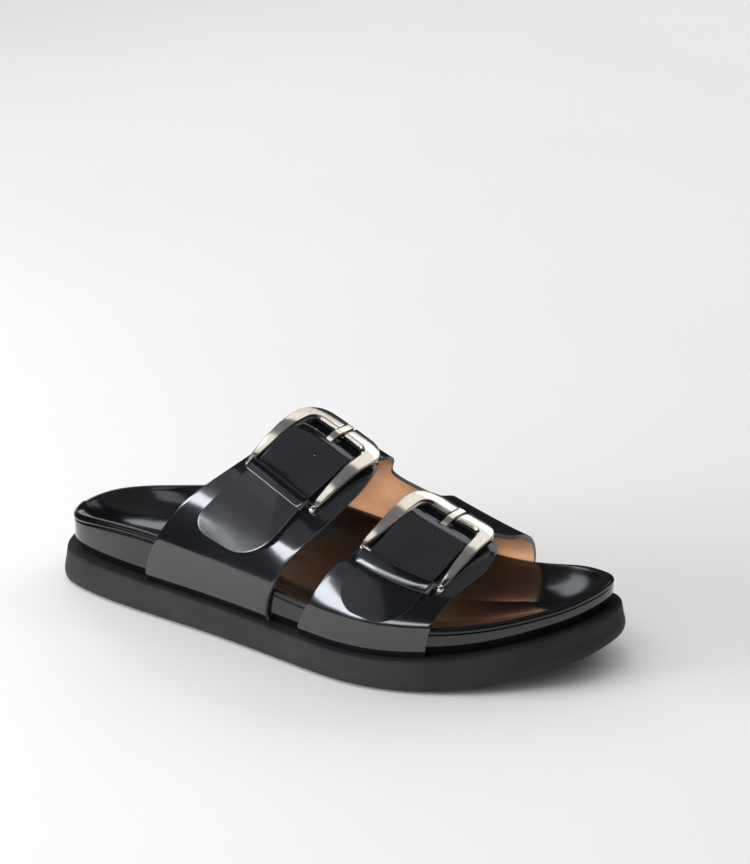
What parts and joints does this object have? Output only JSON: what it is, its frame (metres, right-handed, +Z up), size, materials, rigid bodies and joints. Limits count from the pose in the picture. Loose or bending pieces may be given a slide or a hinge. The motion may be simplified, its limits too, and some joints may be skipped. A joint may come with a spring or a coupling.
{
  "type": "platform sandal",
  "caption": "Right-foot platform sandal with a thick moulded sole, a hollowed glossy footbed and wide straps closed by large buckles over the instep.",
  "frame": {"origin": "on the floor under the middle of the sole's outline", "axes": "+X from heel to toe, +Y to the medial side, +Z up from the floor"},
  "size_m": [0.267, 0.1007, 0.0963],
  "materials": {
    "outsole_rubber": "matte moulded",
    "footbed_leather": "polished black",
    "insole_leather": "glossy black",
    "upper_leather": "polished black, tan lining",
    "buckle_nickel": "polished pale nickel"
  },
  "bodies": {
    "root": {"outsole": "outsole_rubber", "footbed": "footbed_leather", "insole": "insole_leather", "upper_medial": "upper_leather", "strap_rear_lateral": "upper_leather", "strap_front_lateral": "upper_leather", "keeper_rear": "upper_leather", "keeper_front": "upper_leather", "buckle_rear": "buckle_nickel", "buckle_front": "buckle_nickel", "prong_rear": "buckle_nickel", "prong_front": "buckle_nickel"}
  },
  "joints": []
}
